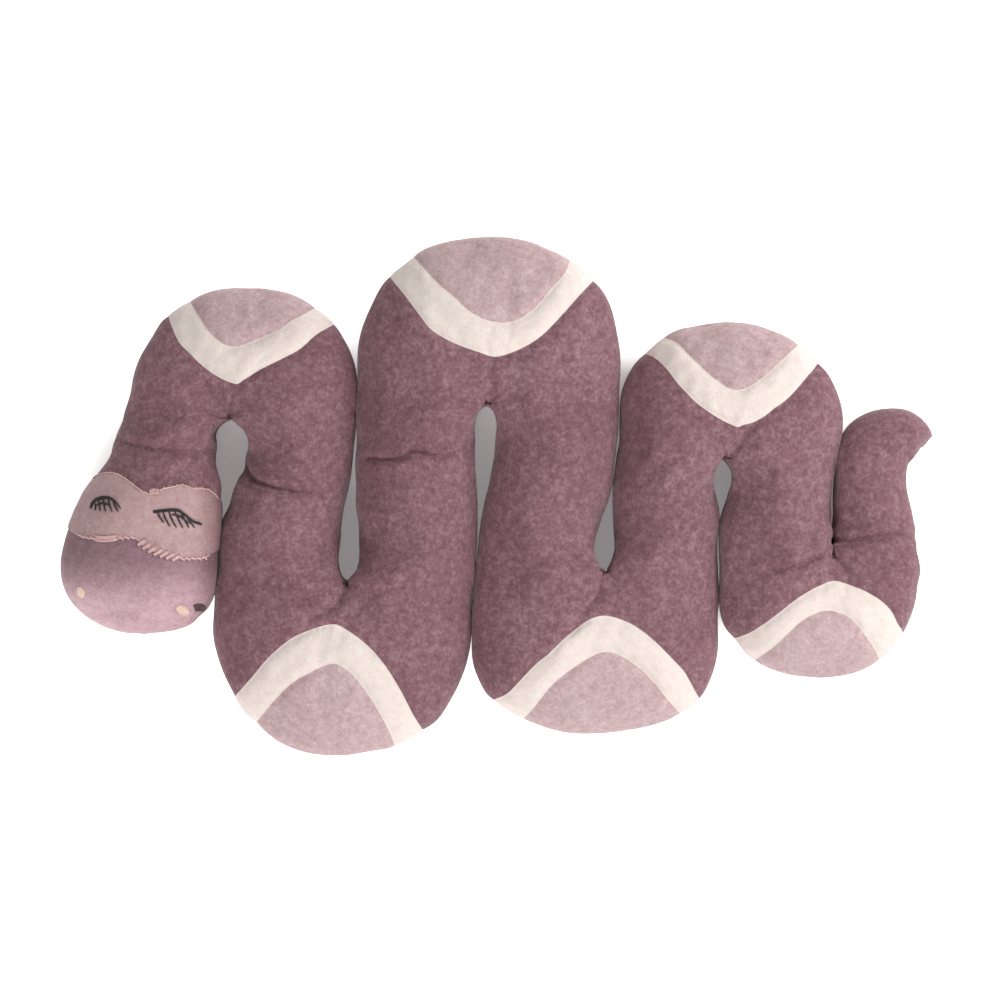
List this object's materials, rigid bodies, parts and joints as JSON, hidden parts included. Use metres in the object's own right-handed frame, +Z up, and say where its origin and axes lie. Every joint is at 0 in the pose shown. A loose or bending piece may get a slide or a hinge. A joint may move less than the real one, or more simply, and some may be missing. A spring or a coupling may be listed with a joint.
{
  "type": "snake plush toy",
  "caption": "Long stuffed snake folded flat into tight hairpin bends, with cream V bands and rose insets, a stitched eye mask, closed embroidered eyes and a curled tail.",
  "frame": {"origin": "under the middle of the toy's bounding box, on the surface that it lies on", "axes": "+X from the head to the tail along the row of bends, +Y towards the back bends (the top of the picture), +Z up, away from the surface"},
  "size_m": [0.6129, 0.3596, 0.0742],
  "materials": {
    "mauve_knit": "short melange knit plush, matt",
    "cream_plush": "short cream plush, matt",
    "rose_plush": "short rose melange plush, matt",
    "muzzle_velour": "fine mauve velour, matt with a soft sheen",
    "mask_jersey": "brushed rose beige jersey, matt",
    "black_thread": "black embroidery thread, satin",
    "dark_thread": "dark plum thread, satin",
    "peach_thread": "peach satin stitch",
    "stuffing": "loose polyester wadding"
  },
  "bodies": {
    "neck": {"neck_panel": "mauve_knit", "neck_stuffing": "stuffing"},
    "head": {"head_back_panel": "mauve_knit", "muzzle_panel": "muzzle_velour", "chin_panel": "muzzle_velour", "head_stuffing": "stuffing", "eye_mask": "mask_jersey", "left_eye": "black_thread", "right_eye": "black_thread", "left_nostril": "peach_thread", "right_nostril": "peach_thread", "mouth_stitch": "dark_thread"},
    "leg_1": {"leg_1_panel": "mauve_knit", "leg_1_stuffing": "stuffing"},
    "bend_1": {"bend_1_band": "cream_plush", "bend_1_inset": "rose_plush", "bend_1_stuffing": "stuffing"},
    "leg_2": {"leg_2_upper_panel": "mauve_knit", "leg_2_lower_panel": "mauve_knit", "leg_2_stuffing": "stuffing"},
    "bend_2": {"bend_2_band": "cream_plush", "bend_2_inset": "rose_plush", "bend_2_stuffing": "stuffing"},
    "leg_3": {"leg_3_upper_panel": "mauve_knit", "leg_3_lower_panel": "mauve_knit", "leg_3_stuffing": "stuffing"},
    "bend_3": {"bend_3_band": "cream_plush", "bend_3_inset": "rose_plush", "bend_3_stuffing": "stuffing"},
    "leg_4": {"leg_4_upper_panel": "mauve_knit", "leg_4_lower_panel": "mauve_knit", "leg_4_stuffing": "stuffing"},
    "bend_4": {"bend_4_band": "cream_plush", "bend_4_inset": "rose_plush", "bend_4_stuffing": "stuffing"},
    "leg_5": {"leg_5_upper_panel": "mauve_knit", "leg_5_lower_panel": "mauve_knit", "leg_5_stuffing": "stuffing"},
    "bend_5": {"bend_5_band": "cream_plush", "bend_5_inset": "rose_plush", "bend_5_stuffing": "stuffing"},
    "leg_6": {"leg_6_upper_panel": "mauve_knit", "leg_6_lower_panel": "mauve_knit", "leg_6_stuffing": "stuffing"},
    "bend_6": {"bend_6_band": "cream_plush", "bend_6_inset": "rose_plush", "bend_6_stuffing": "stuffing"},
    "leg_7": {"leg_7_panel": "mauve_knit", "leg_7_stuffing": "stuffing"},
    "tail": {"tail_panel": "mauve_knit", "tail_stuffing": "stuffing"}
  },
  "joints": [
    {"name": "bend_3_right", "type": "hinge", "parent": "leg_4", "child": "bend_3", "pos_m": [0.06852, 0.15195, 0.0332], "axis": [0, 0, -1], "range_deg": [0, 60]},
    {"name": "bend_3_left", "type": "hinge", "parent": "bend_3", "child": "leg_3", "pos_m": [-0.07564, 0.15564, 0.035], "axis": [0, 0, -1], "range_deg": [0, 60]},
    {"name": "bend_2_right", "type": "hinge", "parent": "leg_3", "child": "bend_2", "pos_m": [-0.05302, -0.16276, 0.035], "axis": [0, 0, 1], "range_deg": [0, 60]},
    {"name": "bend_2_left", "type": "hinge", "parent": "bend_2", "child": "leg_2", "pos_m": [-0.1855, -0.13961, 0.0326], "axis": [0, 0, 1], "range_deg": [0, 60]},
    {"name": "bend_1_right", "type": "hinge", "parent": "leg_2", "child": "bend_1", "pos_m": [-0.11665, 0.12139, 0.0326], "axis": [0, 0, -1], "range_deg": [0, 60]},
    {"name": "bend_1_left", "type": "hinge", "parent": "bend_1", "child": "leg_1", "pos_m": [-0.23303, 0.12684, 0.02733], "axis": [0, 0, -1], "range_deg": [0, 60]},
    {"name": "bend_4_left", "type": "hinge", "parent": "leg_4", "child": "bend_4", "pos_m": [0.0005, -0.14171, 0.0332], "axis": [0, 0, -1], "range_deg": [0, 60]},
    {"name": "bend_4_right", "type": "hinge", "parent": "bend_4", "child": "leg_5", "pos_m": [0.13933, -0.13511, 0.03046], "axis": [0, 0, -1], "range_deg": [0, 60]},
    {"name": "bend_5_left", "type": "hinge", "parent": "leg_5", "child": "bend_5", "pos_m": [0.10718, 0.10028, 0.03046], "axis": [0, 0, 1], "range_deg": [0, 60]},
    {"name": "bend_5_right", "type": "hinge", "parent": "bend_5", "child": "leg_6", "pos_m": [0.22776, 0.09267, 0.02953], "axis": [0, 0, 1], "range_deg": [0, 60]},
    {"name": "bend_6_left", "type": "hinge", "parent": "leg_6", "child": "bend_6", "pos_m": [0.16545, -0.10142, 0.02953], "axis": [0, 0, -1], "range_deg": [0, 60]},
    {"name": "bend_6_right", "type": "hinge", "parent": "bend_6", "child": "leg_7", "pos_m": [0.28594, -0.09176, 0.02605], "axis": [0, 0, -1], "range_deg": [0, 60]},
    {"name": "neck_turn", "type": "hinge", "parent": "leg_1", "child": "neck", "pos_m": [-0.27026, 0.03, 0.02733], "axis": [0, 0, -1], "range_deg": [0, 30]},
    {"name": "head_lift", "type": "hinge", "parent": "neck", "child": "head", "pos_m": [-0.23344, 0.016, 0.06193], "axis": [-1, 0, 0], "range_deg": [0, 40]},
    {"name": "tail_swing", "type": "hinge", "parent": "leg_7", "child": "tail", "pos_m": [0.28895, -0.03, 0.02605], "axis": [0, 0, -1], "range_deg": [0, 35]}
  ],
  "couplings": [
    {"joint": "bend_3_left", "follows": "bend_3_right", "ratio": 1},
    {"joint": "bend_2_left", "follows": "bend_2_right", "ratio": 1},
    {"joint": "bend_1_left", "follows": "bend_1_right", "ratio": 1},
    {"joint": "bend_4_right", "follows": "bend_4_left", "ratio": 1},
    {"joint": "bend_5_right", "follows": "bend_5_left", "ratio": 1},
    {"joint": "bend_6_right", "follows": "bend_6_left", "ratio": 1}
  ]
}
